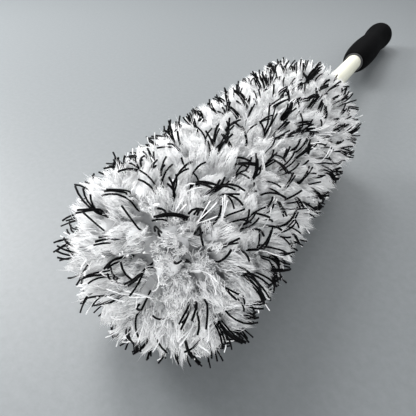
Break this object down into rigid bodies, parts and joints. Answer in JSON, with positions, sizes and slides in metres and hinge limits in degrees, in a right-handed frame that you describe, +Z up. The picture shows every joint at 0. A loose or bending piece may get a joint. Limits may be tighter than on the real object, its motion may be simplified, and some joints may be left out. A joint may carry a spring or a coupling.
{
  "type": "wheel brush",
  "caption": "Plush wheel-cleaning brush: soft-grip handle, flexible shaft with a padded core, and a slip-off white pile cover with black bristle tufts.",
  "frame": {"origin": "on the surface that the brush lies on, in the middle of the squashed underside of its pile", "axes": "+Y along the brush from its tip towards the end of the handle, level, +Z up. The brush's own axis falls by 3.8 degrees towards the handle, because the fat head and the thinner grip both touch the surface. +X is to the right seen from the tip"},
  "size_m": [0.0916, 0.5229, 0.0926],
  "materials": {
    "grip_rubber": "matte soft-touch rubber",
    "liner_plastic": "moulded plastic",
    "shaft_plastic": "satin ivory polypropylene",
    "pin_steel": "bright steel",
    "bumper_rubber": "soft rubber",
    "core_foam": "open-cell foam",
    "cover_cloth": "knitted backing cloth",
    "seam_tape": "woven tape",
    "hem_elastic": "braided elastic",
    "white_pile": "plush split microfibre",
    "black_bristle": "soft black bristle"
  },
  "bodies": {
    "handle": {"grip_sleeve": "grip_rubber", "grip_liner": "liner_plastic", "grip_end_cap": "liner_plastic", "grip_pin": "pin_steel", "core_shaft": "shaft_plastic", "foam_sleeve": "core_foam", "shaft_front_plug": "liner_plastic", "front_washer": "liner_plastic", "tip_screw": "pin_steel", "tip_bumper": "bumper_rubber", "rear_collar": "liner_plastic", "rear_collar_pin": "pin_steel"},
    "cover": {"cover_tube": "cover_cloth", "cover_end_panel": "cover_cloth", "end_panel_seam": "seam_tape", "cover_side_seam": "seam_tape", "hem_casing": "cover_cloth", "hem_elastic": "hem_elastic", "pile_tip": "white_pile", "tip_bristles": "black_bristle", "pile_row_01": "white_pile", "bristle_row_01": "black_bristle", "pile_row_02": "white_pile", "bristle_row_02": "black_bristle", "pile_row_03": "white_pile", "bristle_row_03": "black_bristle", "pile_row_04": "white_pile", "bristle_row_04": "black_bristle", "pile_row_05": "white_pile", "bristle_row_05": "black_bristle", "pile_row_06": "white_pile", "bristle_row_06": "black_bristle", "pile_row_07": "white_pile", "bristle_row_07": "black_bristle", "pile_row_08": "white_pile", "bristle_row_08": "black_bristle"}
  },
  "joints": [
    {"name": "cover_slide", "type": "slide", "parent": "handle", "child": "cover", "axis": [0, -0.9978, 0.0663], "range_m": [0, 0.2]}
  ]
}
